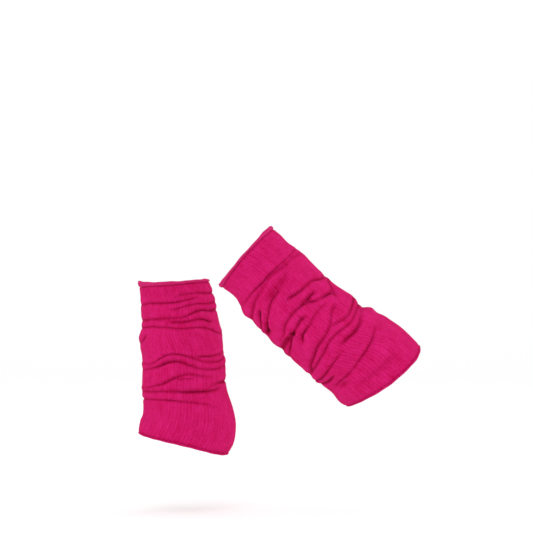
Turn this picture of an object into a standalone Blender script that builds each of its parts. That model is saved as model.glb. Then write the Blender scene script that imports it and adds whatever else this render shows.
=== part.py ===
"""Pair of rib-knit leg warmers, worn and slouched, one on a standing leg and one on a trailing leg.

Each warmer is three pieces: a knitted tube, a rolled welt on its top edge and an overlocked edge
round the ankle. Both hang open and hollow, as they sit on a leg.

World frame: the wearer faces -X and stands up +Z, with their left side at -Y. The origin is the
centre of the standing warmer's top opening.
Leg frame, in millimetres: `along` runs down the leg from the top opening, `angle` runs round it,
with -90 degrees at the shin, 0 at the left side, 90 at the calf and 180 at the right side, and
`out` is how far the cloth stands off its section.
"""
import math
from collections import namedtuple

import bmesh
import bpy
from mathutils import Matrix, Vector

MM = 0.001

# Driving dimensions, millimetres unless a name says otherwise.
WALL = 2.0                   # rib knit, doubled rows of yarn
RIBS = 80                    # lengthwise ribs round a tube
RIB_RELIEF = 0.4             # a rib stands this far out, the furrow beside it this far in
POINTS_PER_RIB = 2           # one on the rib, one in the furrow
INSIDE_POINTS = 32           # round the plain inside of a tube
SEAM_GAP = 0.3               # between a tube and the band sewn to its edge

WELT_HEIGHT = 6.4
WELT_THICKNESS = 3.6
EDGE_HEIGHT = 3.8
EDGE_THICKNESS = 2.8
BAND_POINTS = 32             # round a welt or an edge
BAND_SIDES = 6               # of its oval section

ROLL_LOW = 0.62              # a roll of cloth hangs low between the folds above and below it
ROLL_PUFF = 1.6              # and stands out this far where it has room
ROLL_ROOM = 16.0             # distance between folds that lets a roll puff out fully

LEG_SPACING = 165.0          # between the two legs, side to side

# A section across the leg: how far along it lies, its centre's shift towards the calf, its tilt
# in degrees (calf side down), and half its size front to back and side to side.
Section = namedtuple("Section", "along shift tilt half_front_back half_side")

# Lines round the leg are given at eight stations, 45 degrees apart, starting at the shin.
STATIONS = "shin shin_left left calf_left calf calf_right right shin_right"
SHIN_ANGLE = -math.pi / 2
Line = namedtuple("Line", STATIONS)

# A slouch fold: how far along it runs at each station, and how deep it is at four of them.
Fold = namedtuple("Fold", STATIONS + " deep_shin deep_left deep_calf deep_right")

Warmer = namedtuple("Warmer", "name top_centre lean sections top_seam folds ankle_rows bottom_seam")

STANDING = Warmer(
    name="standing",
    top_centre=(0.0, 0.0, 0.0),
    lean=4.9,
    sections=(
        Section(0, 0, 0, 51, 49),
        Section(20, 2, 0, 52, 49.5),
        Section(40, 4, 0, 54.5, 51),
        Section(62, 4.5, 0, 56, 53),
        Section(85, 3, 0, 60.5, 55),
        Section(110, 5, 0, 60, 56),
        Section(140, 4, 0, 61, 56),
        Section(170, 3, 2, 61.5, 55.5),
        Section(193, 6, 7, 65, 54.5),
        Section(216, 5.5, 12, 69.5, 53),
        Section(233, 0.5, 15.5, 71, 51.5),
        Section(247.5, -5, 18, 69, 50),
    ),
    top_seam=Line(7.5, 6.8, 8.2, 8.8, 9.4, 8.8, 7.5, 8),
    folds=(
        Fold(36, 33, 33, 25, 26, 30, 34, 38, 1.5, 2.5, 2.0, 2.5),
        Fold(58, 56, 57, 50, 52, 56, 60, 61, 2.0, 3.0, 3.5, 3.0),
        Fold(70, 67, 73, 79, 88, 84, 76, 72, 1.5, 3.0, 2.2, 2.5),
        Fold(122, 121, 113, 127, 124, 112, 106, 114, 2.5, 3.5, 2.0, 3.0),
        Fold(131, 129, 126, 139, 136, 127, 122, 127, 2.0, 4.0, 2.0, 3.0),
        Fold(155, 156, 145, 148, 150, 146, 140, 148, 2.0, 3.0, 1.0, 3.0),
        Fold(163, 166, 170, 170, 162, 163, 160, 164, 2.0, 4.0, 3.0, 3.0),
        Fold(178, 178, 184, 190, 193, 186, 180, 180, 3.0, 2.5, 0.5, 2.5),
    ),
    ankle_rows=(0.4, 0.75),
    bottom_seam=Line(243.5, 243.5, 243, 244, 243.5, 243, 243.5, 244),
)

TRAILING = Warmer(
    name="trailing",
    top_centre=(109.8, -LEG_SPACING, 34.6),
    lean=48.7,
    sections=(
        Section(0, 0, 0, 54.5, 51.5),
        Section(34, 0, 0, 53.8, 51.5),
        Section(48, -3, 0, 57.5, 54),
        Section(77, -5, 0, 58.5, 55.5),
        Section(105, -7, 0, 58.5, 56),
        Section(153, -5, 0, 61, 57),
        Section(172, -4.5, 1, 60.5, 57),
        Section(192, -1.5, 2, 64, 56.5),
        Section(231, 2, 5, 67.5, 54),
        Section(251, 1, 7, 68, 53),
        Section(269.5, 2, 8.5, 65.5, 51),
    ),
    top_seam=Line(4.5, 3.4, 3, 3.8, 4.5, 3.5, 3, 4),
    folds=(
        Fold(61, 56, 47, 49, 54, 50, 46, 54, 2.0, 3.0, 1.0, 3.0),
        Fold(97, 83, 70, 72, 75, 74, 72, 84, 4.0, 3.0, 0.0, 2.0),
        Fold(104, 95, 88, 96, 104, 98, 92, 99, 0.5, 3.5, 3.0, 3.0),
        Fold(119, 115, 106, 124, 121, 114, 108, 114, 3.0, 4.0, 3.0, 3.0),
        Fold(137, 129, 122, 133, 134, 130, 125, 131, 4.0, 3.5, 0.5, 3.0),
        Fold(172, 170, 160, 165, 158, 154, 150, 160, 1.5, 4.0, 2.5, 3.0),
        Fold(180, 179, 171, 174, 169, 168, 166, 173, 3.0, 4.0, 4.0, 3.0),
        Fold(198, 199, 191, 186, 177, 182, 187, 193, 2.0, 2.5, 2.5, 3.0),
        Fold(221, 222, 221, 207, 197, 203, 212, 219, 1.5, 3.0, 0.5, 2.0),
    ),
    ankle_rows=(0.5,),
    bottom_seam=Line(264.5, 266, 272, 270, 263, 265, 267, 265),
)


def material(name, colour, roughness):
    """A matt knit finish in a linear colour."""
    finish = bpy.data.materials.new(name)
    finish.use_nodes = True
    shader = finish.node_tree.nodes["Principled BSDF"]
    shader.inputs["Base Color"].default_value = (*colour, 1.0)
    shader.inputs["Roughness"].default_value = roughness
    shader.inputs["Metallic"].default_value = 0.0
    return finish


def curve_through(before, start, end, after, part):
    """Catmull-Rom curve from start to end, where part goes from 0 to 1."""
    rise = end - start
    slope_in = (end - before) / 2
    slope_out = (after - start) / 2
    bend = part * (1 - part)
    smooth = part * part * (3 - 2 * part)
    return start + rise * smooth + bend * ((1 - part) * slope_in - part * slope_out)


def round_the_leg(values, angle):
    """A smooth value at this angle from values at even stations, the first of them at the shin."""
    count = len(values)
    place = (angle - SHIN_ANGLE) / math.tau * count
    first = math.floor(place)
    near = [values[(first + step) % count] for step in (-1, 0, 1, 2)]
    return curve_through(*near, place - first)


def section_at(sections, along):
    """The section at this place along the leg, between the two nearest in the table."""
    along = min(max(along, sections[0].along), sections[-1].along)
    last = len(sections) - 2
    low = next(i for i in range(last, -1, -1) if sections[i].along <= along)
    near = [sections[min(max(low + step, 0), last + 1)] for step in (-1, 0, 1, 2)]
    part = (along - near[1].along) / (near[2].along - near[1].along)
    return Section(*(curve_through(*column, part) for column in zip(*near)))


def leg_point(warmer, along, out, angle):
    """World place, in metres, of a point of the cloth."""
    section = section_at(warmer.sections, along)
    tilt = math.radians(section.tilt)
    across = (section.half_front_back + out) * math.sin(angle)
    sideways = -(section.half_side + out) * math.cos(angle)
    down = along + across * math.sin(tilt)
    point = Vector((section.shift + across * math.cos(tilt), sideways, -down))
    turn = Matrix.Rotation(-math.radians(warmer.lean), 3, "Y")
    return (turn @ point + Vector(warmer.top_centre)) * MM


def seam_row(line):
    """The edge of a tube, where a band is sewn on."""
    return lambda angle: (round_the_leg(line, angle), 0.0)


def fold_row(fold):
    """The bottom of a slouch fold."""
    stations = len(Line._fields)
    heights, depths = fold[:stations], fold[stations:]
    return lambda angle: (round_the_leg(heights, angle), -round_the_leg(depths, angle))


def roll_row(above, below):
    """The roll of cloth that hangs between the row above and the row below."""
    def roll(angle):
        start, end = above(angle)[0], below(angle)[0]
        room = min((end - start) / ROLL_ROOM, 1.0)
        return start + ROLL_LOW * (end - start), ROLL_PUFF * room
    return roll


def plain_row(above, below, part):
    """A row of smooth cloth, part of the way from the row above to the row below."""
    def plain(angle):
        start, end = above(angle)[0], below(angle)[0]
        return start + part * (end - start), 0.0
    return plain


def tube_rows(warmer):
    """The rows of a tube from its top edge to its bottom edge."""
    rows = [seam_row(warmer.top_seam)]
    for fold in warmer.folds:
        trough = fold_row(fold)
        rows += [roll_row(rows[-1], trough), trough]
    last_fold, bottom = rows[-1], seam_row(warmer.bottom_seam)
    rows += [plain_row(last_fold, bottom, part) for part in warmer.ankle_rows]
    return rows + [bottom]


def cloth_loop(mesh, warmer, points, row, shift):
    """One closed loop of the cloth's surface, as its vertices and their world places; shift
    moves a point out by its number."""
    circle = bmesh.ops.create_circle(mesh, segments=points, radius=1.0)["verts"]
    places = []
    for vert in circle:
        angle = math.atan2(vert.co.x, -vert.co.y)
        number = round(angle / math.tau * points)
        along, out = row(angle)
        places.append(leg_point(warmer, along, out + shift(number), angle))
    return circle, places


def closed_cloth(name, loops_of, finish):
    """An object whose surface runs through the loops and back to the first one. The loops are
    joined as hoops stacked on one pole, and only then does each point go to its place."""
    mesh = bmesh.new()
    loops = loops_of(mesh)
    hoops = []
    for level, (circle, _) in enumerate(loops):
        bmesh.ops.translate(mesh, verts=circle, vec=(0, 0, -level))
        hoops.append(list(dict.fromkeys(edge for vert in circle for edge in vert.link_edges)))
    for hoop, following in zip(hoops, hoops[1:] + hoops[:1]):
        bmesh.ops.bridge_loops(mesh, edges=hoop + following)
    for circle, places in loops:
        for vert, place in zip(circle, places):
            vert.co = place
    bmesh.ops.recalc_face_normals(mesh, faces=mesh.faces)
    if mesh.calc_volume(signed=True) < 0:
        bmesh.ops.reverse_faces(mesh, faces=mesh.faces)
    data = bpy.data.meshes.new(name)
    mesh.to_mesh(data)
    mesh.free()
    data.materials.append(finish)
    data.shade_smooth()
    piece = bpy.data.objects.new(name, data)
    bpy.context.scene.collection.objects.link(piece)
    return piece


def knit_tube(warmer, finish):
    """The tube: ribs raised in the outer face, a plain inside, both through the same rows."""
    def rib(number):
        return RIB_RELIEF if number % POINTS_PER_RIB == 0 else -RIB_RELIEF

    def inside(_):
        return -WALL

    def loops_of(mesh):
        rows = tube_rows(warmer)
        outer = [cloth_loop(mesh, warmer, RIBS * POINTS_PER_RIB, row, rib) for row in rows]
        inner = [cloth_loop(mesh, warmer, INSIDE_POINTS, row, inside) for row in reversed(rows)]
        return outer + inner

    return closed_cloth(warmer.name + "_tube", loops_of, finish)


def band(name, warmer, seam, direction, height, thickness, finish):
    """A band of oval section on a tube's edge; direction is -1 up the leg and 1 down it."""
    middle = direction * (SEAM_GAP + height / 2)

    def side(turn):
        rise = height / 2 * math.cos(turn)
        stand = thickness / 2 * math.sin(turn) - WALL / 2
        return lambda angle: (round_the_leg(seam, angle) + middle + rise, stand)

    def loops_of(mesh):
        turns = [math.tau * number / BAND_SIDES for number in range(BAND_SIDES)]
        return [cloth_loop(mesh, warmer, BAND_POINTS, side(turn), lambda _: 0.0) for turn in turns]

    return closed_cloth(name, loops_of, finish)


def build_warmer(warmer, knit, welt, edge):
    """One warmer: its tube, the welt above it and the edge below it."""
    name = warmer.name
    knit_tube(warmer, knit)
    band(name + "_top_welt", warmer, warmer.top_seam, -1, WELT_HEIGHT, WELT_THICKNESS, welt)
    band(name + "_ankle_edge", warmer, warmer.bottom_seam, 1, EDGE_HEIGHT, EDGE_THICKNESS, edge)


def build():
    for item in list(bpy.data.objects):
        bpy.data.objects.remove(item, do_unlink=True)
    knit = material("magenta_rib_knit", (0.60, 0.008, 0.115), 0.9)
    welt = material("rose_rolled_welt", (0.66, 0.016, 0.115), 0.85)
    edge = material("magenta_overlock", (0.66, 0.008, 0.145), 0.85)
    for warmer in (STANDING, TRAILING):
        build_warmer(warmer, knit, welt, edge)


build()
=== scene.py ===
import math

import bmesh
import bpy
import numpy as np
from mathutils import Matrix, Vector


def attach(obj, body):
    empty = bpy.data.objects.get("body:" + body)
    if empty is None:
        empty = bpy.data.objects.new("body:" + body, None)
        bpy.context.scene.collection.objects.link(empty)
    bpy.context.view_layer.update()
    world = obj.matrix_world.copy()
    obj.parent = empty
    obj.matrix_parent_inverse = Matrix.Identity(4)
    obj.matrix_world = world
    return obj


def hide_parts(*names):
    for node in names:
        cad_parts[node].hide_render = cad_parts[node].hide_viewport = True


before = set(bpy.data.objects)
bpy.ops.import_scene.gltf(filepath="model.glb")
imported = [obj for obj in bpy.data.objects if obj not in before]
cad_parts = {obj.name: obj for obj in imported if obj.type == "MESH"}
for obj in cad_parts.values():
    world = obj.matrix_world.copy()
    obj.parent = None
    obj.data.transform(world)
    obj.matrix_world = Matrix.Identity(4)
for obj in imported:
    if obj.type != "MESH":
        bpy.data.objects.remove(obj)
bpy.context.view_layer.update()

# --- Studio -------------------------------------------------------------------------------------
# A long lens level with the calves looks square at the wearer's left side. The floor is a pale
# sweep that curves up into a backdrop, and large soft lights fill it almost without shadows.
FRAME_WIDTH = 0.7995            # metres across the image at the standing leg
CAMERA_DISTANCE = 4.0
CAMERA_AIM = Vector((0.14025, 0.0, 0.01875))
FLOOR_HEIGHT = -0.345           # where the wearer's shoes stand
SENSOR = 36.0
COVE_STEPS = 12

camera_data = bpy.data.cameras.new("camera")
camera_data.sensor_width = SENSOR
camera_data.lens = SENSOR * CAMERA_DISTANCE / FRAME_WIDTH
camera = bpy.data.objects.new("camera", camera_data)
camera.location = CAMERA_AIM - Vector((0, CAMERA_DISTANCE, 0))
camera.rotation_euler = (math.pi / 2, 0, 0)
bpy.context.scene.collection.objects.link(camera)
bpy.context.scene.camera = camera


def linear(colour):
    """Linear red, green and blue of an sRGB hex colour."""
    parts = [int(colour[i:i + 2], 16) / 255 for i in (1, 3, 5)]
    return tuple(c / 12.92 if c <= 0.04045 else ((c + 0.055) / 1.055) ** 2.4 for c in parts)


def add_node(tree, kind, settings=None, links=None):
    """A shader node with its settings and input values, and with links into its inputs."""
    node = tree.nodes.new(kind)
    for name, value in (settings or {}).items():
        if isinstance(name, str) and hasattr(node, name):
            setattr(node, name, value)
        else:
            node.inputs[name].default_value = value
    for name, source in (links or {}).items():
        tree.links.new(source, node.inputs[name])
    return node


def new_material(name):
    """A new material, its node tree and its shader."""
    finish = bpy.data.materials.new(name)
    finish.use_nodes = True
    tree = finish.node_tree
    return finish, tree, tree.nodes["Principled BSDF"]


def studio_sweep():
    """Floor and backdrop in one: a strip with a round cove between its flat parts."""
    sweep = bmesh.new()
    front, back, rise, cove, half = -5.0, 6.5, 4.0, 1.5, 7.0
    points = [Vector((-half, front, FLOOR_HEIGHT)), Vector((-half, back - cove, FLOOR_HEIGHT))]
    for step in range(1, COVE_STEPS + 1):
        turn = math.pi / 2 * step / COVE_STEPS
        points.append(Vector((-half, back - cove + cove * math.sin(turn),
                              FLOOR_HEIGHT + cove - cove * math.cos(turn))))
    points.append(Vector((-half, back, FLOOR_HEIGHT + rise)))
    verts = [sweep.verts.new(point) for point in points]
    edges = [sweep.edges.new(pair) for pair in zip(verts, verts[1:])]
    wide = bmesh.ops.extrude_edge_only(sweep, edges=edges)["geom"]
    moved = [part for part in wide if isinstance(part, bmesh.types.BMVert)]
    bmesh.ops.translate(sweep, verts=moved, vec=(2 * half, 0, 0))
    bmesh.ops.recalc_face_normals(sweep, faces=sweep.faces)
    data = bpy.data.meshes.new("studio_sweep")
    sweep.to_mesh(data)
    sweep.free()
    data.shade_smooth()
    # Uncoated paper: pure white, matt, with next to no gloss.
    finish, _, shader = new_material("matt_white_paper")
    shader.inputs["Base Color"].default_value = (*linear("#FFFFFF"), 1)
    shader.inputs["Roughness"].default_value = 0.95
    shader.inputs["Specular IOR Level"].default_value = 0.1
    data.materials.append(finish)
    floor = bpy.data.objects.new("studio_sweep", data)
    bpy.context.scene.collection.objects.link(floor)


def soft_light(name, place, size, watts):
    """A square softbox that faces the legs."""
    lamp = bpy.data.lights.new(name, "AREA")
    lamp.shape = "SQUARE"
    lamp.size = size
    lamp.energy = watts
    light = bpy.data.objects.new(name, lamp)
    light.location = Vector(place)
    aim = CAMERA_AIM - light.location
    light.rotation_euler = aim.to_track_quat("-Z", "Y").to_euler()
    bpy.context.scene.collection.objects.link(light)


studio_sweep()
soft_light("key_softbox", (-0.4, -2.0, 3.0), 2.0, 15)
soft_light("left_softbox", (-3.0, -1.2, 0.6), 2.0, 13)
soft_light("right_softbox", (3.0, -0.2, -0.2), 1.6, 26)
soft_light("fill_softbox", (-0.6, -3.6, 0.2), 1.8, 8)
soft_light("back_softbox", (0.4, 1.0, 2.6), 2.0, 8)
world = bpy.data.worlds.new("white_studio")
world.use_nodes = True
world.node_tree.nodes["Background"].inputs["Color"].default_value = (1, 1, 1, 1)
world.node_tree.nodes["Background"].inputs["Strength"].default_value = 0.955
bpy.context.scene.world = world
bpy.context.scene.view_settings.view_transform = "Standard"

# --- Rib-knit tubes -----------------------------------------------------------------------------
# Each warmer is one tube of acrylic rib knit, knitted round with no side seam. It is longer than
# the shin, so it slouches: the cloth hangs in soft rolls, and each roll tucks under itself into a
# sharp crease. Ribs run down it and follow every fold. The last part is smooth over the ankle.
#
# The tube is drawn on a chart. Across it are degrees round the leg, one degree being about one
# millimetre of cloth: -90 is the shin, 0 the left side, 90 the calf and 180 the right side. Down
# it are millimetres along the leg.
MM = 0.001                      # metres
LEGS_SPACING = 0.165            # metres between the two legs, side to side
RIBS = 80
RIB_SHAPE = np.array([-1.0, 0.35, 1.0, 0.35])   # out at its furrow, side, crest and other side
RIB_RELIEF = 0.32               # mm that a crest stands out and a furrow goes in
UNEVEN_RELIEF = 0.4, 1.6        # least and most share of that relief
UNEVEN_STEPS = 16               # places down a rib where its relief changes
WALL = 2.0                      # mm of cloth
OUTER_ROWS = 262
INNER_COLUMNS = 128
INNER_ROWS = 84
STATIONS = np.arange(-90, 270, 45)              # degrees at which a seam's height is given

# Sections across the leg: mm along it, mm that the centre is shifted to the calf, degrees that the
# calf side tilts down, and half the size front to back and side to side in mm.
# Twist: mm along the leg, and degrees that the ribs have turned round it there.
# Seams: mm along the leg at the eight stations. The welt's height in mm is given there too.
# Creases: mm deep at even steps from start to end, mm below it in which the cloth comes out
# again, and the points on the chart that it runs through.
# Swells: mm of height, place on the chart, and reach across and along in mm. Pockets go in.
STANDING = dict(
    name="standing",
    top_centre=(0.0, 0.0, 0.0),
    lean=4.9,
    sections=(
        (0, -0.2, 0, 51.1, 49),
        (20, 3, 0, 53.6, 50),
        (40, 4.6, 0, 56, 52),
        (62, 5.1, 0, 57.2, 53.5),
        (85, 4.4, 0, 61.4, 55.5),
        (110, 5.3, 0, 60.8, 56.5),
        (140, 4.8, 0, 62.7, 57),
        (170, 3, 2, 63.5, 56.5),
        (193, 6, 7, 66.8, 55.5),
        (216, 5.4, 12, 70.1, 53.5),
        (233, 0.5, 15.5, 71.8, 52),
        (247.5, -5.9, 18, 69.0, 50.5),
    ),
    twist=((0, 0), (10, 1), (25, 4), (50, 3), (75, -1), (105, 5), (130, 6), (180, 3),
           (200, 0), (247.5, -7)),
    top_seam=(7.8, 7.6, 8.4, 7.6, 8.3, 9.5, 10, 9),
    welt=(9.4, 6.7, 5.0, 4.1, 3.8, 4.0, 4.0, 5.5),
    bottom_seam=(245, 246.2, 245.3, 247.4, 245.6, 244, 243.5, 244),
    creases=(
        # left side, top to bottom
        ((2.2, 1.8, 3.4, 4.5, 3.2, 2.9, 2.6), 2.3, (
            (-2, 25), (14, 24.5), (31, 23.3), (62, 25), (90, 25.5), (125, 28), (150, 30),
            (172, 27.5), (195, 28.5))),
        ((1.3, 1.3, 2.1, 2.6, 2.8, 2.9, 2.2), 2.3, (
            (-188, 31), (-165, 29.5), (-140, 32), (-90, 34), (-66, 34.1), (-52, 32.9), (-25, 34),
            (-4, 34.4), (7, 33.6), (20, 31.8), (34.1, 30.3), (42, 28.5))),
        ((1.5, 2.5, 2.6, 2.6, 2.2, 1.9, 1.6), 2.4, (
            (-17, 43), (-3.9, 44.9), (6.3, 42.5), (28, 39.5), (56, 40.9), (76, 39.5), (115, 42),
            (138, 45), (160, 43), (180, 45))),
        ((2.1, 2.9, 2.5, 2.4, 3.6, 4.5, 3.6, 3.2, 2.8), 2.6, (
            (-125, 60), (-95, 58.5), (-73, 58), (-51, 57), (-15, 57.2), (6.1, 57.4), (14.2, 55.5),
            (20.3, 52.8), (27, 51), (39, 49.2), (54, 50.9), (76, 51), (110, 52.5), (135, 55),
            (158, 59.5), (182, 61), (207, 58.5))),
        ((1.2, 3.2, 3.1, 2.7, 3.7, 5.0), 2.7, (
            (-22, 61), (-10.2, 63.1), (1.9, 64.3), (16, 63.9), (26, 62.7), (38, 62.6), (48.8, 65.7),
            (62, 71))),
        ((2.3, 2.9, 3.1, 2.3, 2.0, 2.5, 3.0, 3.1, 2.5, 1.9), 2.1, (
            (-152, 73.5), (-130, 70.5), (-108, 72), (-85, 69), (-64.9, 68.3), (-49, 67.7),
            (-29.1, 69.3), (-14.1, 71.3), (5.9, 74.3), (26, 74.4), (36.9, 75.4), (49.8, 78.5),
            (62.6, 83.9), (80, 86.5), (105, 84.5), (140, 79.5), (160, 76), (184, 79))),
        ((1.3, 1.3, 1.3, 1.3, 1.3, 1.4, 2.8, 3.1, 2.1), 3.0, (
            (-178, 95), (-158, 92), (-135, 95), (-112, 92), (-92, 92.5), (-79, 91), (-67.7, 87.5),
            (-57.9, 81.2), (-48, 78.5))),
        ((1.4, 1.4, 1.6, 1.9, 3.0, 3.2, 2.1, 2.8, 2.3, 2.0, 1.9), 2.4, (
            (-172, 114), (-152, 111), (-130, 114.5), (-100, 118.5), (-80, 120.5), (-62, 123),
            (-45.7, 121.2), (-33.6, 115.9), (-23.9, 111.6), (-14, 110.6), (-5.1, 111.2),
            (4.9, 114.3), (12.9, 117.3), (20, 120.6), (28.9, 124.8), (48, 127.3), (62, 127.5),
            (79, 123), (110, 115), (130, 111.5), (150, 114), (170, 119))),
        ((1.0, 4.0, 2.8, 1.6, 1.5, 1.5, 1.5), 2.4, (
            (13.9, 117.7), (28, 117.3), (47, 118.6), (69.1, 116.3), (88, 112.5), (108, 108),
            (130, 104.5))),
        ((1.4, 1.4, 1.4, 1.0, 2.5, 4.9, 3.5, 2.3, 2.5, 2.4, 2.2, 2.1, 2.1), 2.9, (
            (-168, 127.5), (-145, 130.5), (-122, 127.5), (-100, 131.5), (-80, 131.5), (-61, 130.3),
            (-46, 128), (-34.1, 125.8), (-25.9, 122.9), (-14, 121.1), (-4.1, 122.3), (5.1, 126.3),
            (14.9, 131.1), (24.8, 135.5), (34.9, 137.6), (53, 138.5), (75, 136), (95, 133.5),
            (130, 126.5), (150, 129.5), (170, 133))),
        ((1.3, 1.3, 1.3, 1.3, 1.6, 2.5, 3.6, 3.0, 2.0, 0.6), 2.7, (
            (-162, 150), (-140, 147), (-120, 150.5), (-90, 155.5), (-59, 158.7), (-41.8, 156),
            (-27.9, 152.6), (-19.9, 148.8), (-12.9, 145.8), (-4, 143.3), (6, 142), (14.9, 143.2),
            (22.9, 145.6), (36, 148), (50, 148.5))),
        ((1.0, 2.3, 2.0, 0.6), 1.9, ((-18, 147.1), (-8, 148.2), (6, 148.5), (22, 150.5))),
        ((2.1, 2.1, 2.2, 2.5, 2.7, 3.0, 2.5, 2.9, 5.4, 3.7, 3.0), 2.8, (
            (-190, 161.5), (-168, 163.5), (-145, 160), (-90, 162.5), (-58, 164.8), (-32, 165.2),
            (-11.9, 165.9), (1, 167.4), (15, 167.8), (34, 168.4), (52.1, 167), (66, 164))),
        ((0.7, 2.5, 6.1, 8.0, 6.7, 4.7, 3.5, 2.7), 2.6, (
            (28, 164), (38, 162.5), (47.9, 160.1), (62.9, 158.1), (78, 158), (92, 157.5),
            (115, 160), (140, 163), (158, 166.5), (178, 169.5))),
        ((1.6, 1.7, 1.8, 2.1, 2.8, 1.9, 2.7, 1.9, 0.6), 2.1, (
            (-222, 187), (-200, 184), (-175, 180.5), (-150, 182.5), (-130, 180), (-100, 179),
            (-77, 178.5), (-58, 178.9), (-32, 179.2), (-13, 180.5), (-3.9, 181.9), (13.1, 184.2),
            (22.1, 185.4), (46, 191))),
        # right side
        ((1.4, 2.8, 2.0), 2.4, ((192, 52.5), (210, 48), (232, 46.5), (254, 50))),
        ((1.6, 3.6, 2.6), 2.6, ((112, 90), (132, 93.5), (154, 100), (172, 103), (186, 102))),
        ((1.8, 4.0, 3.2, 2.2), 2.6, (
            (118, 141), (142, 138), (168, 142.5), (196, 144), (222, 139.5))),
        ((1.4, 3.2, 2.0), 2.4, ((150, 154), (172, 152), (196, 155.5))),
        ((1.2, 3.0, 1.8), 2.4, ((94, 186), (114, 179), (136, 176))),
        ((1.0, 2.4, 1.6), 5.0, ((150, 216), (178, 210), (206, 214))),
    ),
    swells=(
        (1.4, -92, 83, 24, 7),
        (1.0, -95, 100, 30, 9),
        (1.3, -90, 122, 24, 4),
        (1.4, -90, 160, 24, 5),
        (-1.1, -90, 178, 22, 4),
        (1.0, -90, 222, 24, 6),
        (1.3, 90, 86, 24, 4),
        (1.1, 90, 127, 26, 7),
        (1.2, 90, 158, 24, 4),
        (1.2, 20, 97, 40, 12),
        (-1.0, 45, 100, 16, 9),
        (1.2, 88, 205, 40, 18),
        (-1.2, 95, 150, 26, 10),
    ),
)

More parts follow.
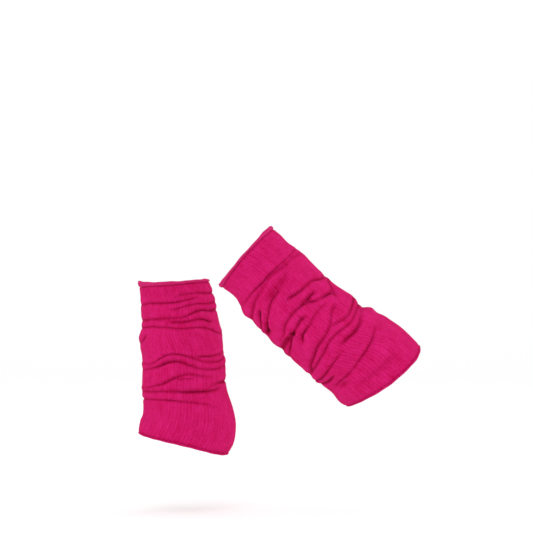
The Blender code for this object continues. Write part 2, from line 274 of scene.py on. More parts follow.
TRAILING = dict(
    name="trailing",
    top_centre=(109.8, -LEGS_SPACING / MM, 34.6),
    lean=48.7,
    sections=(
        (0, -0.5, 0, 55.8, 51.5),
        (34, -0.8, 0, 54.8, 51.5),
        (48, -2.7, 0, 58.2, 54),
        (77, -4.8, 0, 59.9, 56),
        (105, -6.1, 0, 59.5, 56.5),
        (135, -6.6, 0, 61.2, 57),
        (153, -5.3, 0, 62.5, 57.5),
        (172, -5.5, 1, 62, 57.5),
        (192, -3.2, 2, 65.2, 57),
        (231, 2.1, 5, 68.2, 54.5),
        (251, 0.4, 7, 69.4, 53.5),
        (269.5, 1.5, 8.5, 66.6, 51.5),
    ),
    twist=((0, 0), (38, 7), (60, 7), (95, 1), (125, 0), (180, 0), (200, 3), (226, 12),
           (269.5, 14)),
    top_seam=(6.2, 2.2, 0.2, 2.4, 5.2, 4.5, 3.5, 4.5),
    welt=(7.8, 4.5, 3.2, 5.4, 6.2, 5.0, 4.2, 5.2),
    bottom_seam=(261.3, 268.2, 274.6, 272.8, 263, 263, 265, 262),
    creases=(
        # left side, top to bottom
        ((1.1, 1.2, 1.4, 3.2, 2.2, 1.8, 1.4), 2.0, (
            (-150, 44.5), (-125, 46), (-100, 43), (-74, 44), (-48, 43.4), (-28, 42.5), (-7, 43.6),
            (2.1, 42.8), (16, 44.3), (33, 46), (60, 47.8), (76, 47), (100, 50), (122, 48))),
        ((2.2, 2.7, 3.2, 2.8, 1.8, 2.6, 1.7, 0.9, 0.9, 0.9, 0.9), 3.5, (
            (-148, 70.5), (-122, 73.5), (-100, 70), (-78, 66.5), (-63.2, 62.8), (-50.1, 58.1),
            (-38.3, 53.3), (-28.1, 51.4), (-10.1, 48.3), (3, 46.1), (16.2, 48.2), (33, 51.6),
            (45, 51.5), (61, 55), (81, 58), (112, 57), (135, 60), (158, 58), (182, 61.5))),
        ((1.8, 2.4, 1.6), 7.0, ((-30, 68.5), (-10, 64.5), (8, 63.5), (32, 62))),
        ((2.8, 2.8, 2.8, 2.8, 4.6, 5.4, 5.9, 6.1), 2.6, (
            (-142, 88.5), (-118, 91), (-96, 88), (-77, 86), (-66.4, 81.6), (-59.8, 76.9),
            (-50.8, 70.2), (-43.6, 66.8), (-39.7, 64.4))),
        ((8.8, 8.8, 3.1, 2.8, 3.2, 3.4, 3.3), 3.1, (
            (-78, 97.5), (-67, 92.6), (-58.5, 88.4), (-48.6, 83.9), (-37.1, 78.9), (-29.1, 74.4),
            (-20.7, 71), (-14.5, 69.8), (-5.5, 69.2), (8, 69))),
        ((4.5, 3.7, 2.4, 3.6, 3.3, 2.6, 1.9, 1.9, 1.8, 1.8, 1.8), 3.0, (
            (-8, 86), (2.9, 87.2), (12, 89.8), (20, 92.4), (27, 92.5), (36, 93.4), (45.9, 94.7),
            (51.9, 97.6), (58.9, 101.1), (66, 103.6), (80, 105), (95, 104.5), (118, 101.5),
            (142, 98), (165, 101.5), (188, 99.5), (207, 95.5))),
        ((4.6, 3.5, 0.6), 2.5, ((61.2, 126.9), (68.1, 123.1), (70, 115), (67, 109), (64, 103))),
        ((2.0, 2.0, 2.0, 2.0, 1.7, 1.0, 1.5, 2.9, 2.5, 2.9, 5.0, 2.0, 4.9, 9.5), 3.0, (
            (-172, 118.5), (-148, 123), (-124, 120.5), (-100, 125), (-79.5, 125), (-68, 122),
            (-56.5, 118.9), (-45.1, 115.6), (-39.8, 112.6), (-35.2, 109.2), (-29, 107.4),
            (-20.9, 106.2), (-9.5, 105.2), (1.5, 106.2), (12, 107), (17.2, 110.2), (21.8, 115.1),
            (27.7, 118.4), (35.8, 121.6), (42.3, 123.4), (49.1, 124.9), (58.7, 127.2),
            (68.3, 124.8))),
        ((5.2, 6.4, 4.8, 4.2), 3.2, (
            (4, 107.4), (14, 107.2), (24, 106.6), (32, 108), (39.8, 110.2))),
        ((2.2, 3.4, 3.4, 3.2, 2.3, 1.7, 1.7, 1.7, 1.6), 3.9, (
            (46, 139.5), (52, 135), (58.7, 129.2), (64.4, 122.9), (74, 115), (92, 111), (115, 110),
            (138, 113), (162, 110.5))),
        ((9.5, 7.4, 2.7, 4.0, 4.2, 2.3), 3.1, (
            (-45.9, 127.8), (-38, 125.5), (-32, 124.3), (-26, 123.1), (-20.4, 121.7),
            (-13.9, 120.1), (-8, 119.6), (-2.3, 121.5), (5, 122.5))),
        ((2.4, 2.6, 2.7, 2.9, 3.0, 3.6, 5.6, 7.8, 9.5), 3.2, (
            (-128, 144.5), (-102, 146), (-80, 143), (-67.6, 138), (-57.8, 134.2), (-51.1, 130.4),
            (-44.1, 126.7), (-36.6, 123.5))),
        ((2.7, 2.8, 2.8, 2.8, 2.9, 4.0, 5.6, 6.6, 7.0, 6.6, 5.6), 4.6, (
            (-160, 135), (-136, 131.5), (-112, 134), (-88, 129.5), (-67.2, 126.8), (-58.4, 125.6),
            (-52.7, 125), (-46, 124.5), (-36.3, 124))),
        ((3.1, 4.5, 4.4, 2.0, 1.9, 1.5, 1.7, 1.1), 2.8, (
            (-38, 148), (-32.6, 142.4), (-28.5, 138), (-24.7, 135.3), (-19, 134.6), (-13, 134.1),
            (-6.5, 133.6), (1.4, 131.6), (9.9, 129.8), (20, 129.1), (28, 130.8), (38, 134))),
        ((1.7, 4.3, 4.4, 4.1, 3.2, 2.7, 2.3, 1.9, 3.6), 3.3, (
            (-84, 183), (-65.8, 179), (-56.7, 174.4), (-47.1, 171), (-37.5, 168), (-28.5, 164.2),
            (-20.6, 161.9), (-12.5, 161.3), (-3.3, 160), (6.8, 157.2), (14.2, 152.6), (21, 148),
            (27, 144.6), (36.2, 142.4), (44.3, 141.1))),
        ((2.8, 2.4, 3.4, 4.4, 3.5, 2.7, 2.5, 2.5, 2.3), 3.0, (
            (5.7, 158.8), (16.7, 159.7), (24.8, 162.9), (37, 165.2), (52, 163.1), (64, 160.2),
            (77, 157.5), (95, 155), (125, 150), (148, 147), (170, 150.5), (193, 148))),
        ((2.7, 2.7, 2.7, 3.3, 4.4, 3.2, 2.7, 2.7, 2.1, 2.8, 5.1, 5.0, 3.8, 2.7), 2.7, (
            (-182, 176), (-160, 179.5), (-138, 177), (-115, 180), (-90, 183), (-69, 182.5),
            (-55, 181.3), (-44.5, 179.5), (-34.5, 177.4), (-24.9, 175.6), (-16.4, 173.2),
            (-8.5, 170.8), (2, 169.9), (12.9, 171.4), (22, 173), (34, 174.8), (46, 171.8),
            (62.1, 169.7), (80, 167.5), (100, 166.5), (130, 167.5), (148, 171), (164, 169))),
        ((1.6, 4.2, 4.2, 1.7, 1.4, 1.5, 1.4, 1.4, 1.4), 3.3, (
            (-8, 186), (2, 185.8), (11, 185.6), (21, 187.1), (29, 186.5), (38.1, 184.5),
            (52.4, 179.1), (66, 174.5), (80, 175), (96, 176), (112, 177), (132, 181), (154, 185))),
        ((3.0, 3.3, 3.5, 4.0, 5.7, 4.0, 2.6, 1.5), 2.6, (
            (-180, 190), (-155, 193.5), (-132, 190), (-110, 193), (-78, 198), (-60, 200.2),
            (-46, 198.7), (-24.9, 195.5), (-4, 193.4))),
        ((2.8, 2.9, 3.0, 3.1, 3.4, 6.9, 4.7, 2.7), 2.8, (
            (-162, 201.5), (-138, 205), (-115, 203), (-92, 206.5), (-78, 208), (-63, 210.9),
            (-46, 210.6), (-37, 211))),
        ((3.4, 2.8, 1.7, 2.7, 2.4, 0.8), 2.2, (
            (-66, 226), (-47, 223.1), (-34, 224.1), (-17.9, 222.5), (-1, 218.9), (11.1, 216.6),
            (18.2, 214.7), (25.3, 212.3), (35.5, 208), (50, 200.5))),
        ((1.6, 3.0, 1.6), 5.0, ((-60, 228), (-47, 230), (-30, 233))),
        ((0.8, 1.6, 1.0), 6.0, ((-30, 247), (-12, 248), (4, 250), (20, 249), (36, 246))),
        # right side
        ((1.6, 3.6, 2.6), 2.6, ((150, 73), (172, 76), (192, 73), (208, 78), (222, 85))),
        ((2.4, 5.0, 4.2, 2.8), 2.8, ((112, 86.5), (138, 81), (164, 84.5), (186, 88))),
        ((2.2, 5.0, 3.4), 2.8, ((122, 122.5), (146, 125.5), (168, 121.5), (184, 115), (196, 108))),
        ((2.2, 5.2, 3.4), 2.8, ((106, 135), (132, 130.5), (156, 134), (178, 140), (200, 146))),
        ((2.6, 5.6, 4.8, 3.4), 3.0, (
            (140, 158.5), (168, 154), (196, 158), (226, 163.5), (250, 166))),
        ((1.6, 4.0, 2.4), 2.6, ((104, 194.5), (128, 200), (150, 206.5), (172, 209))),
        ((1.4, 3.0, 1.6), 2.8, ((158, 220), (186, 223.5), (216, 221))),
    ),
    swells=(
        (2.2, -88, 54, 24, 8),
        (1.5, -90, 90, 24, 5),
        (-1.0, -90, 188, 24, 4),
        (1.6, -90, 199, 24, 6),
        (1.3, 90, 20, 30, 9),
        (1.1, 90, 62, 30, 11),
        (1.8, 90, 111, 28, 5),
        (1.6, 90, 155, 28, 4.5),
        (-1.7, 90, 174, 26, 3.5),
        (1.6, 90, 204, 34, 9),
        (2.0, -88, 112, 30, 9),
        (3.8, 92, 184, 34, 7),
        (1.6, 70, 138, 20, 10),
        (1.8, -30, 154, 24, 9),
        (-3.6, -70, 96.4, 8, 3.6),
        (-3.6, -36, 124.5, 4, 3),
        (-1.8, -63.5, 155.5, 5, 3.5),
        (-1.4, 0, 77, 26, 6),
        (1.5, 25, 74, 26, 7),
    ),
)


def smooth_curve(xs, ys, at):
    """Values at these places of a smooth curve through the points, flat beyond its ends."""
    xs, ys = np.asarray(xs, float), np.asarray(ys, float)
    slopes = np.gradient(ys, xs)
    low = np.clip(np.searchsorted(xs, at) - 1, 0, len(xs) - 2)
    gap = xs[low + 1] - xs[low]
    part = np.clip((at - xs[low]) / gap, 0, 1)
    rise = ys[low + 1] - ys[low]
    bend = part * (1 - part) * ((1 - part) * (slopes[low] * gap) - part * (slopes[low + 1] * gap))
    return ys[low] + rise * part * part * (3 - 2 * part) + bend


def round_the_leg(line, degrees):
    """Height of a seam at these degrees, smooth through its eight stations and all round."""
    turns = np.concatenate([STATIONS - 360, STATIONS, STATIONS + 360])
    return smooth_curve(turns, np.tile(line, 3), degrees)


def on_leg(warmer, degrees, along, out):
    """World places, in metres, of points of the chart that stand out so many mm."""
    heights, *measures = np.array(warmer["sections"], float).T
    shift, tilt, half_front_back, half_side = (
        smooth_curve(heights, measure, along) for measure in measures)
    turn, tilt = np.radians(degrees), np.radians(tilt)
    across = (half_front_back + out) * np.sin(turn)
    x = shift + across * np.cos(tilt)
    y = -(half_side + out) * np.cos(turn)
    z = -(along + across * np.sin(tilt))
    lean = math.radians(warmer["lean"])
    world = [x * math.cos(lean) - z * math.sin(lean), y, x * math.sin(lean) + z * math.cos(lean)]
    return (np.stack(world, axis=-1) + np.array(warmer["top_centre"])) * MM


def drawn_line(path, step=3.0):
    """A crease as points every few mm on a smooth line, and how far along it each one is."""
    path = np.array(path, float)
    reach = np.concatenate([[0], np.cumsum(np.hypot(*np.diff(path, axis=0).T))])
    places = np.linspace(0, reach[-1], int(reach[-1] / step) + 2)
    points = np.stack([smooth_curve(reach, path[:, k], places) for k in (0, 1)], axis=1)
    return points, places


def beside_crease(path, degrees, along, reach=22.0):
    """For points of the chart in a crease's box, grown by its reach: which they are, how far below
    it they lie, how far along it, its length, and the direction across it."""
    points, places = drawn_line(path)
    middle = (points[0, 0] + points[-1, 0]) / 2
    degrees = middle + (degrees - middle + 180) % 360 - 180
    low, high = points.min(axis=0) - reach, points.max(axis=0) + reach
    near = ((degrees > low[0]) & (degrees < high[0]) & (along > low[1]) & (along < high[1]))
    spot = np.stack([degrees[near], along[near]], axis=-1)
    distance = np.full(len(spot), np.inf)
    below, place, across = np.zeros(len(spot)), np.zeros(len(spot)), np.zeros((len(spot), 2))
    for number in range(len(points) - 1):
        start, span = points[number], points[number + 1] - points[number]
        length = np.hypot(*span)
        part = np.clip((spot - start) @ span / length ** 2, 0, 1)
        off = spot - start - part[:, None] * span
        far = np.hypot(off[:, 0], off[:, 1])
        closer = far < distance
        normal = np.array([-span[1], span[0]]) / length
        distance[closer] = far[closer]
        below[closer] = np.copysign(far, off @ normal)[closer]
        place[closer] = (places[number] + part * length)[closer]
        across[closer] = normal
    return near, below, place, places[-1], across


def crease_depth(deep, place, length, fade=14.0):
    """mm deep along a crease, from its evenly spaced depths, fading out at both ends."""
    depth = np.interp(place / length, np.linspace(0, 1, len(deep)), deep)
    end = np.clip(np.minimum(place, length - place) / fade, 0, 1)
    return depth * end * end * (3 - 2 * end)


# A crease is a broad valley with a sharp line along its bottom. Above it hangs a roll of cloth.
LINE = 0.5                      # the line and the valley, as shares of the crease's depth
VALLEY = 0.7
LINE_ABOVE = 0.7                # reaches of the crease in which the line opens above its bottom
LINE_BELOW = 0.95
OPENING = 1.7                   # reaches in which the valley opens
STEEP_ABOVE = 2                 # powers that give the valley's sides their slope
STEEP_BELOW = 1.4
ROLL_HEIGHT = 0.34              # a roll above a crease stands out by this share of its depth
ROLL_MIDDLE = 2.5               # reaches above the crease
ROLL_REACH = 1.6


def crease_profile(below, reach):
    """Share of a crease's depth that the cloth is in, at these mm below the crease."""
    above, off = below < 0, np.abs(below)
    line = np.exp(-(off / reach / np.where(above, LINE_ABOVE, LINE_BELOW)) ** 2)
    valley = np.exp(-(off / (OPENING * reach)) ** np.where(above, STEEP_ABOVE, STEEP_BELOW))
    roll = np.exp(-((off / reach - ROLL_MIDDLE) / ROLL_REACH) ** 2) * (1 - np.exp(-off))
    return LINE * line + VALLEY * valley - np.where(above, ROLL_HEIGHT * roll, 0)


LIP = 0.4                       # the roll's lip hangs over the crease by this share of its depth
LIP_MIDDLE = 1.7                # mm above the crease
LIP_REACH = 1.1
SOFT = 4.0                      # a crease that reaches further than this is a valley with no lip
TIGHT = 0.65                    # creases are shallower by this share where shin or calf is tight
TIGHT_POWER = 6                 # how narrow those two places are
CROWD_REACH = 3.0               # mm each side of a crease in which the rows lie closer
# Painted shade: how dark each place is painted, as the mm of crease that would make it so.
PAINTED_SHADE_REACH = 0.95               # reaches each side of a crease
PAINTED_CREST_HIGHLIGHT = 0.15              # painted highlight: the rolls beside it are painted lighter by this share of its depth
CREST_MIDDLE = 5.2              # mm from the crease
CREST_REACH = 2.2
PIT = -3.0                      # mm high: swells below this get painted shade as dark pits
PIT_SHADE = 14.0
# Seams: mm that each pulls the cloth in, its reach in mm, and the painted shade along it.
SEAMS = ("top_seam", 0.9, 1.5, 2.4), ("bottom_seam", 0.7, 2.6, 2.6)
SEAM_CROWD = 0.5                # the rows lie closer along a seam by this share of that in a crease


def folded(warmer, degrees, along):
    """Every crease, swell and seam on a stretch of the chart: mm out, degrees and mm that the
    cloth slides, how crowded with creases it is there, and the shade painted on it less the
    highlight painted on its rolls."""
    out, crowded, painted_shading, painted_highlight = (np.zeros(degrees.shape) for _ in range(4))
    slide = np.zeros(degrees.shape + (2,))
    for deep, reach, path in warmer["creases"]:
        near, below, place, length, across = beside_crease(path, degrees, along)
        depth = crease_depth(deep, place, length)
        # Painted shade along the crease line, by its depth.
        line = depth * np.exp(-(below / PAINTED_SHADE_REACH / reach) ** 2)
        # Painted highlight on the rolls a few mm each side of the crease.
        crest = depth * np.exp(-((np.abs(below) - CREST_MIDDLE) / CREST_REACH) ** 2)
        painted_shading[near] = np.maximum(painted_shading[near], line)
        painted_highlight[near] = np.maximum(painted_highlight[near], PAINTED_CREST_HIGHLIGHT * crest)
        depth *= 1 - TIGHT * np.sin(np.radians(degrees[near])) ** TIGHT_POWER
        if reach > SOFT:
            out[near] -= depth * np.exp(-(below / reach) ** 2)
            continue
        out[near] -= depth * crease_profile(below, reach)
        lip = LIP * depth * np.exp(-((below + LIP_MIDDLE) / LIP_REACH) ** 2)
        slide[near] += lip[:, None] * across
        crowded[near] += np.clip(depth, 0, 1) * np.exp(-(below / CROWD_REACH) ** 2)
    for height, middle, level, wide, tall in warmer["swells"]:
        off = (degrees - middle + 180) % 360 - 180
        swell = height * np.exp(-(off / wide) ** 2 - ((along - level) / tall) ** 2)
        out += swell
        # Painted shade over deep pockets.
        if height < PIT:
            painted_shading = np.maximum(painted_shading, PIT_SHADE * swell / height)
    for seam, pull, reach, shade in SEAMS:
        line = np.exp(-((along - round_the_leg(warmer[seam], degrees)) / reach) ** 2)
        out -= pull * line
        crowded = np.maximum(crowded, SEAM_CROWD * line)
        # Painted shade along each seam, besides its real groove.
        painted_shading = np.maximum(painted_shading, shade * line)
    return out, slide, crowded, painted_shading - painted_highlight


LINING_REACH = 2.5              # reaches of a crease in which its inside opens
POCKET_ROOM = 2                 # a pocket is this many times as wide inside, round its bottom


def lining_depth(warmer, degrees, along):
    """mm out of the inside of the wall: the same creases, wider and with no lip."""
    out = np.zeros(degrees.shape)
    for deep, reach, path in warmer["creases"]:
        near, below, place, length, _ = beside_crease(path, degrees, along)
        depth = crease_depth(deep, place, length)
        depth *= (LINE + VALLEY) * (1 - TIGHT * np.sin(np.radians(degrees[near])) ** TIGHT_POWER)
        out[near] = np.minimum(out[near], -depth * np.exp(-np.abs(below) / (LINING_REACH * reach)))
    for height, middle, level, wide, tall in warmer["swells"]:
        off = (degrees - middle + 180) % 360 - 180
        room = 1 if height > 0 else POCKET_ROOM
        out += height * np.exp(-(off / wide / room) ** 2 - ((along - level) / tall / room) ** 2)
    return out


def twisted(warmer, degrees, along):
    """Degrees round the leg of ribs that start at these degrees, further down it."""
    return degrees + smooth_curve(*np.array(warmer["twist"], float).T, along)


CROWD = 2.6                     # how much closer the rows lie in a crease than on plain cloth
TRIAL_ROWS = 900
UNDER_BAND = 1.0                # mm that the tube goes on under its welt and its edge


def crowded_rows(warmer, degrees, rows):
    """Heights of so many rows of cloth at these degrees, closest together in the creases."""
    ends = [twisted(warmer, degrees, warmer["sections"][k][0]) for k in (0, -1)]
    top = round_the_leg(warmer["top_seam"], ends[0]) - UNDER_BAND
    bottom = round_the_leg(warmer["bottom_seam"], ends[1]) + UNDER_BAND
    fine = np.linspace(0, 1, TRIAL_ROWS)
    along = top[:, None] + (bottom - top)[:, None] * fine
    _, _, crowded, _ = folded(warmer, twisted(warmer, degrees[:, None], along), along)
    weight = np.cumsum(1 + CROWD * np.minimum(crowded, 1), axis=1)
    weight = (weight - weight[:, :1]) / (weight[:, -1:] - weight[:, :1])
    even = np.linspace(0, 1, rows)
    return np.stack([np.interp(even, w, a) for w, a in zip(weight, along)])


def pole_tube(mesh, columns, rows, first=0.0, last=-1.0):
    """Cloth rolled round a pole between two heights and closed along one side: its vertices by
    column and row."""
    sheet = bmesh.ops.create_grid(mesh, x_segments=columns, y_segments=rows - 1, size=1.0)["verts"]
    net = [[None] * rows for _ in range(columns + 1)]
    for vert in sheet:
        column = round((vert.co.x + 1) / 2 * columns)
        row = round((1 - vert.co.y) / 2 * (rows - 1))
        net[column][row] = vert
        turn = math.tau * column / columns
        height = first + (last - first) * row / (rows - 1)
        vert.co = (math.sin(turn), -math.cos(turn), height)
    bmesh.ops.weld_verts(mesh, targetmap=dict(zip(net[columns], net[0])))
    return net[:columns]


def loop_edges(mesh, loop):
    """The edges of a closed loop of vertices."""
    return [mesh.edges.get(pair) for pair in zip(loop, loop[1:] + loop[:1])]


def finished_piece(mesh, node, finish, places, flat, painted_shading=None):
    """A piece that stands for a CAD node. Its vertices go to their world places, and it gets a map
    of its flat cloth: the share of the way round it and the mm down it, and any painted shade and
    highlight as a point attribute."""
    bmesh.ops.recalc_face_normals(mesh, faces=mesh.faces)
    for vert, place in zip(mesh.verts, places):
        vert.co = place
    if mesh.calc_volume(signed=True) < 0:
        bmesh.ops.reverse_faces(mesh, faces=mesh.faces)
    data = bpy.data.meshes.new(node + "_cloth")
    mesh.to_mesh(data)
    mesh.free()
    corners, starts = np.empty(len(data.loops), int), np.empty(len(data.polygons), int)
    data.loops.foreach_get("vertex_index", corners)
    data.polygons.foreach_get("loop_start", starts)
    around, down = flat[corners].T
    # The faces where the map closes run on past its end.
    sizes = np.diff(np.append(starts, len(corners)))
    span = np.maximum.reduceat(around, starts) - np.minimum.reduceat(around, starts)
    around = np.where((np.repeat(span, sizes) > 0.5) & (around < 0.5), around + 1, around)
    cloth_map = data.uv_layers.new(name="cloth")
    cloth_map.uv.foreach_set("vector", np.stack([around, down], axis=1).astype(np.float32).ravel())
    if painted_shading is not None:
        shade = data.attributes.new("painted_shade_and_highlight", "FLOAT", "POINT")
        shade.data.foreach_set("value", painted_shading.astype(np.float32))
    data.materials.append(finish)
    data.shade_smooth()
    piece = bpy.data.objects.new(node + "_cloth", data)
    bpy.context.scene.collection.objects.link(piece)
    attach(piece, "root")
    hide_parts(node)
    return piece


PAINTED_SHADE_PER_MM = 0.085              # share of the painted shade colour for each mm of crease
PAINTED_SHADE_MOST = 0.95


def rib_tube(warmer, finish):
    """The tube: ribbed and creased outside, plainer inside, closed over both edges."""
    columns = RIBS * len(RIB_SHAPE)
    degrees = -90 + 360 * np.arange(columns) / columns
    along = crowded_rows(warmer, degrees, OUTER_ROWS)
    turned = twisted(warmer, degrees[:, None], along)
    out, slide, _, tone_and_painted_shading = folded(warmer, turned, along)
    uneven = np.random.default_rng(columns).uniform(*UNEVEN_RELIEF, (RIBS, UNEVEN_STEPS))
    steps = np.linspace(0, UNEVEN_STEPS - 1, OUTER_ROWS)
    uneven = np.stack([np.interp(steps, range(UNEVEN_STEPS), row) for row in uneven])
    rib = np.tile(RIB_SHAPE, RIBS)[:, None] * np.repeat(uneven, len(RIB_SHAPE), axis=0)
    outer = on_leg(warmer, turned + slide[..., 0], along + slide[..., 1], out + rib * RIB_RELIEF)
    lengths = np.linalg.norm(np.diff(outer, axis=1), axis=2) / MM
    down = np.concatenate([np.zeros((columns, 1)), np.cumsum(lengths, axis=1)], axis=1)
    down *= down[:, -1].mean() / down[:, -1:]

    inner_degrees = -90 + 360 * np.arange(INNER_COLUMNS) / INNER_COLUMNS
    inner_along = crowded_rows(warmer, inner_degrees, INNER_ROWS)
    inner_turned = twisted(warmer, inner_degrees[:, None], inner_along)
    inner = on_leg(warmer, inner_turned, inner_along,
                   lining_depth(warmer, inner_turned, inner_along) - WALL)

    # On the pole the inside hangs below the outside and upside down, which keeps each pair of
    # rims apart, so that they are bridged without a twist.
    mesh = bmesh.new()
    outside = pole_tube(mesh, columns, OUTER_ROWS)
    inside = pole_tube(mesh, INNER_COLUMNS, INNER_ROWS, first=-2.1, last=-1.1)
    for row in (0, -1):
        rim = [column[row] for column in outside], [column[row] for column in inside]
        bmesh.ops.bridge_loops(mesh, edges=loop_edges(mesh, rim[0]) + loop_edges(mesh, rim[1]))
    mesh.verts.index_update()
    places, flat = np.zeros((len(mesh.verts), 3)), np.zeros((len(mesh.verts), 2))
    painted_shading = np.zeros(len(mesh.verts))
    inner_down = np.linspace(0, down[:, -1].mean(), INNER_ROWS)
    for net, spots, turns, depths in ((outside, outer, degrees, down),
                                      (inside, inner, inner_degrees,
                                       np.tile(inner_down, (INNER_COLUMNS, 1)))):
        numbers = np.array([[vert.index for vert in column] for column in net])
        places[numbers] = spots
        flat[numbers, 0] = ((turns + 90) / 360)[:, None]
        flat[numbers, 1] = depths
        if net is outside:
            # Painted shade in creases, pits and seams, less painted highlight on the rolls, goes on
            # the outside.
            painted_shading[numbers] = np.minimum(tone_and_painted_shading * PAINTED_SHADE_PER_MM, PAINTED_SHADE_MOST)
    return finished_piece(mesh, warmer["name"] + "_tube", finish, places, flat, painted_shading)


def sine_of(tree, source, turns, phase=0.0):
    """The sine of a value, after so many turns for each unit of it."""
    angle = add_node(tree, "ShaderNodeMath", {"operation": "MULTIPLY_ADD", 1: turns * math.tau,
                                              2: phase}, {0: source})
    return add_node(tree, "ShaderNodeMath", {"operation": "SINE"}, {0: angle.outputs[0]}).outputs[0]


STREAK_SCALE = 10.0             # a streak is a tenth of a radian wide, about 6 mm of cloth
STREAK_DOWN = 0.005             # and about 20 mm long


def round_place(tree, around, down):
    """Places for noise that streaks down the cloth, with no break where its map closes."""
    level = add_node(tree, "ShaderNodeMath", {"operation": "MULTIPLY", 1: STREAK_DOWN}, {0: down})
    return add_node(tree, "ShaderNodeCombineXYZ", links={
        0: sine_of(tree, around, 1.0), 1: sine_of(tree, around, 1.0, math.pi / 2),
        2: level.outputs[0]}).outputs[0]


WALE_BEND = 0.25                # courses that a V stitch bends, down at its middle, up at its ends
WALE_HEIGHT = 0.8               # heights in the bump, against that of a course
FUZZ_HEIGHT = 1.2
BUMP = 0.6                      # strength of the whole
# Each pattern moves the colour between the dark and the light one by its share.
FUZZ_SIZE, FUZZ = 0.9, 0.35     # mm across and share: loose fibres
YARN_SIZE, YARN = 3.0, 0.6      # thicker and thinner yarn
DYE_SIZE, DYE = 25.0, 0.4       # uneven dye
PAINTED_STITCH_SHADE = 0.07                 # painted shade: the gaps between stitches are painted darker than the stitches
TONE_REACH = 0.35               # from their average to all dark or all light
# The colour that painted shade in creases, pits and seams mixes towards.
PAINTED_SHADE_COLOUR = "#6E0022"
SHEEN_COLOUR = "#FF5FA5"
MIX_FROM, MIX_TO, MIXED = 6, 7, 2   # sockets of a node that mixes two colours


def knit_finish(name, dark, light, wales, course, relief, painted_furrow_shade, streaks):
    """Matt knit drawn on the map of its flat cloth, with a soft sheen of loose fibre. So many
    wales of V stitches go round it, a course is so many mm high and the bump so many mm deep.
    Painted shade in the furrows between its ribs and streaks down it have their share in its
    colour, and so do the painted shade and highlight that its piece carries."""
    finish, tree, shader = new_material(name)
    cloth = add_node(tree, "ShaderNodeUVMap", {"uv_map": "cloth"})
    split = add_node(tree, "ShaderNodeSeparateXYZ", links={0: cloth.outputs[0]})
    around, down = split.outputs[0], split.outputs[1]
    place = add_node(tree, "ShaderNodeTexCoord").outputs["Object"]
    fuzz, yarn, dye = (
        add_node(tree, "ShaderNodeTexNoise", {"Scale": 1 / (size * MM), "Detail": detail},
                 {"Vector": place}).outputs["Fac"]
        for size, detail in ((FUZZ_SIZE, 3.0), (YARN_SIZE, 2.0), (DYE_SIZE, 2.0)))
    # V stitches: the courses bend down towards the middle of each wale.
    wale = sine_of(tree, around, wales, -math.pi / 2)
    bend = add_node(tree, "ShaderNodeMath", {"operation": "MULTIPLY_ADD", 1: WALE_BEND * course},
                    {0: wale, 2: down})
    stitch = sine_of(tree, bend.outputs[0], 1 / course)
    knit = add_node(tree, "ShaderNodeMath", {"operation": "MULTIPLY_ADD", 1: WALE_HEIGHT},
                    {0: wale, 2: stitch}).outputs[0]
    height = add_node(tree, "ShaderNodeMath", {"operation": "MULTIPLY_ADD", 1: FUZZ_HEIGHT},
                      {0: fuzz, 2: knit})
    bump = add_node(tree, "ShaderNodeBump", {"Strength": BUMP, "Distance": relief * MM},
                    {"Height": height.outputs[0]})
    # Painted shade in the furrows between the ribs, and painted highlight on their crests.
    rib = sine_of(tree, around, RIBS, -math.pi / 2)
    streak = add_node(tree, "ShaderNodeTexNoise", {"Scale": STREAK_SCALE, "Detail": 2.0},
                      {"Vector": round_place(tree, around, down)}).outputs["Fac"]
    # Painted shade and highlight that the piece carries: above zero darkens, below zero lightens.
    painted_shade_and_highlight = add_node(tree, "ShaderNodeAttribute", {"attribute_name": "painted_shade_and_highlight"}).outputs["Fac"]
    tone_and_painted_shading = add_node(tree, "ShaderNodeMath", {"operation": "MULTIPLY", 1: DYE}, {0: dye}).outputs[0]
    for share, pattern in ((YARN, yarn), (PAINTED_STITCH_SHADE, knit), (painted_furrow_shade, rib), (streaks, streak),
                           (FUZZ, fuzz), (-1.0, painted_shade_and_highlight)):
        tone_and_painted_shading = add_node(tree, "ShaderNodeMath", {"operation": "MULTIPLY_ADD", 1: share},
                        {0: pattern, 2: tone_and_painted_shading}).outputs[0]
    average = (DYE + YARN + FUZZ + streaks) / 2
    span = add_node(tree, "ShaderNodeMapRange", {"From Min": average - TONE_REACH,
                                                 "From Max": average + TONE_REACH},
                    {"Value": tone_and_painted_shading})
    plain = add_node(tree, "ShaderNodeMix", {"data_type": "RGBA", MIX_FROM: (*linear(dark), 1),
                                             MIX_TO: (*linear(light), 1)}, {0: span.outputs[0]})
    # Painted shade mixes the colour towards the deep tone.
    deep = add_node(tree, "ShaderNodeMix", {"data_type": "RGBA",
                                            MIX_TO: (*linear(PAINTED_SHADE_COLOUR), 1)},
                    {0: painted_shade_and_highlight, MIX_FROM: plain.outputs[MIXED]})
    tree.links.new(deep.outputs[MIXED], shader.inputs["Base Color"])
    tree.links.new(bump.outputs[0], shader.inputs["Normal"])
    shader.inputs["Roughness"].default_value = 0.95
    shader.inputs["Specular IOR Level"].default_value = 0.08
    shader.inputs["Sheen Weight"].default_value = 0.04
    shader.inputs["Sheen Roughness"].default_value = 0.5
    shader.inputs["Sheen Tint"].default_value = (*linear(SHEEN_COLOUR), 1)
    return finish


# Acrylic rib knit: matt magenta, with painted shade in its furrows, streaks where the ribs lie
# unevenly, and a little fuzz. Its stitches are too fine to show, so they are drawn coarser, 2.2 by
# 1.7 mm, with painted shade between them.
rib_knit = knit_finish("magenta_rib_knit", "#BC0049", "#DA2079", wales=2 * RIBS, course=1.7,
                       relief=0.35, painted_furrow_shade=0.06, streaks=0.55)
standing_tube = rib_tube(STANDING, rib_knit)
trailing_tube = rib_tube(TRAILING, rib_knit)

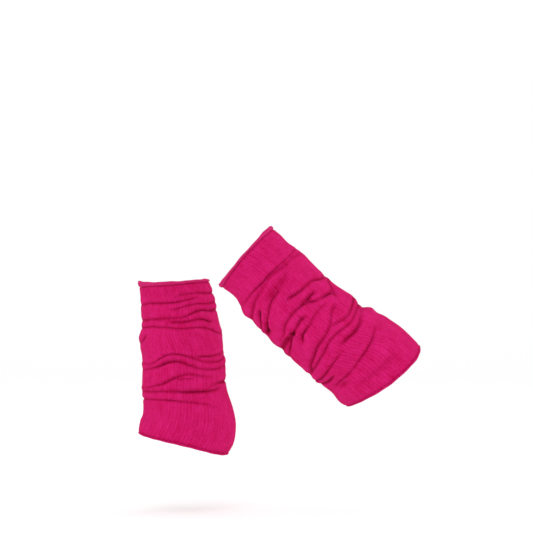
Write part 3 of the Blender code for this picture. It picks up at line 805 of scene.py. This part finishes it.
# --- Rolled welts -------------------------------------------------------------------------------
# The top edge of each tube is bound with a narrow roll of plain knit, a rosier pink than the ribs.
# It stands out a little, its free edge waves, and it is sewn on along one seam, which pulls it in
# to a groove under it, darkened further with painted shade.
BAND_GIRTH = 19.6               # mm of flat cloth round a band's oval


def band(warmer, part, finish, columns, sides, section):
    """A closed ring of cloth on an edge of a tube. The section gives mm along the leg and mm out
    for degrees round the leg and turns round the ring's own oval."""
    degrees = np.repeat(-90 + 360 * np.arange(columns)[:, None] / columns, sides, axis=1)
    turns = np.repeat(math.tau * np.arange(sides)[None] / sides, columns, axis=0)
    along, out = section(degrees, turns)
    mesh = bmesh.new()
    net = pole_tube(mesh, columns, sides)
    seam = [[column[row] for column in net] for row in (0, -1)]
    bmesh.ops.bridge_loops(mesh, edges=loop_edges(mesh, seam[0]) + loop_edges(mesh, seam[1]))
    mesh.verts.index_update()
    numbers = np.array([[vert.index for vert in column] for column in net])
    places, flat = np.zeros((len(mesh.verts), 3)), np.zeros((len(mesh.verts), 2))
    places[numbers] = on_leg(warmer, degrees, along, out)
    flat[numbers, 0] = (degrees + 90) / 360
    flat[numbers, 1] = turns / math.tau * BAND_GIRTH
    return finished_piece(mesh, warmer["name"] + part, finish, places, flat)


def waves(degrees, table):
    """A sum of waves round the leg: mm high, how many of them, and degrees of shift."""
    return sum(high * np.cos(np.radians(count * degrees + shift)) for high, count, shift in table)


WELT_COLUMNS = 480
WELT_SIDES = 20
WELT_THICKNESS = 3.8
WELT_FULL = 0.18                # share by which its outer side is fuller, and its inner flatter
WELT_IN = 0.5                   # mm that its middle lies in from the tube's outside
WELT_GROOVES = 160
WELT_GROOVE = 0.13              # mm deep
WELT_SWAY = 0.2                 # its edge waves in and out by this share of its waves up and down
WELT_SWAY_TURN = 40             # degrees further round


def welt_section(warmer, unevenness):
    """An oval whose outer side is full, above the seam that pulls it in."""
    def section(degrees, turns):
        height = round_the_leg(warmer["welt"], degrees) + waves(degrees, unevenness)
        groove = WELT_GROOVE * np.cos(np.radians(degrees * WELT_GROOVES))
        rise, stand = np.cos(turns), np.sin(turns)
        full = 1 + WELT_FULL * stand
        along = round_the_leg(warmer["top_seam"], degrees) - height * (0.5 + 0.5 * rise)
        out = (WELT_THICKNESS / 2 + groove * (stand > 0)) * stand * full - WELT_IN
        return along, out + WELT_SWAY * waves(degrees + WELT_SWAY_TURN, unevenness)
    return section


# Plain acrylic knit, matt and a little smoother than the ribs, with its stitches drawn coarser and
# a little painted shade in its grooves and between its stitches.
rose_welt = knit_finish("rose_rolled_welt", "#C0185E", "#DE307C", wales=2 * WELT_GROOVES,
                        course=1.5, relief=0.3, painted_furrow_shade=0.04, streaks=0.2)
standing_welt = band(STANDING, "_top_welt", rose_welt, WELT_COLUMNS, WELT_SIDES,
                     welt_section(STANDING, ((0.3, 5, 20), (0.25, 9, 65), (0.15, 16, 10))))
trailing_welt = band(TRAILING, "_top_welt", rose_welt, WELT_COLUMNS, WELT_SIDES,
                     welt_section(TRAILING, ((0.3, 4, 50), (0.25, 7, 15), (0.2, 13, 80))))

# --- Overlocked ankle edges ---------------------------------------------------------------------
# The bottom edge is trimmed and bound by an overlock machine. Its thread lies over the edge in
# slanting loops, a little brighter than the cloth, and leaves the edge slightly rough.
EDGE_COLUMNS = 1140
EDGE_SIDES = 14
EDGE_HEIGHT = 2.6
EDGE_THICKNESS = 2.6
EDGE_IN = 0.8                   # mm that its middle lies in from the tube's outside
EDGE_CURL = 1.2                 # mm that its lowest part leans in
EDGE_LOOPS = 190
LOOP_SLANT = 1.4
LOOP_RELIEF = 0.16              # mm that a loop stands out, and the gap beside it goes in


def edge_section(warmer, unevenness):
    """A thin oval that carries the slanting loops of thread."""
    def section(degrees, turns):
        height = EDGE_HEIGHT + waves(degrees, unevenness)
        rise, stand = np.cos(turns), np.sin(turns)
        thread = LOOP_RELIEF * np.cos(np.radians(degrees * EDGE_LOOPS) + LOOP_SLANT * rise)
        along = (round_the_leg(warmer["bottom_seam"], degrees) + height * (0.5 + 0.5 * rise)
                 + thread * rise)
        curl = EDGE_CURL * (0.5 + 0.5 * rise) ** 2
        return along, (EDGE_THICKNESS / 2 + thread) * stand - EDGE_IN - curl
    return section


# Overlock thread, textured and matt, brighter than the cloth, with a fine twist for stitches and
# painted shade between them.
overlock = knit_finish("magenta_overlock", "#C20A5E", "#E0247E", wales=EDGE_LOOPS, course=0.8,
                       relief=0.2, painted_furrow_shade=0.0, streaks=0.3)
standing_edge = band(STANDING, "_ankle_edge", overlock, EDGE_COLUMNS, EDGE_SIDES,
                     edge_section(STANDING, ((0.25, 5, 30), (0.2, 17, 0))))
trailing_edge = band(TRAILING, "_ankle_edge", overlock, EDGE_COLUMNS, EDGE_SIDES,
                     edge_section(TRAILING, ((0.25, 4, 70), (0.2, 15, 30))))
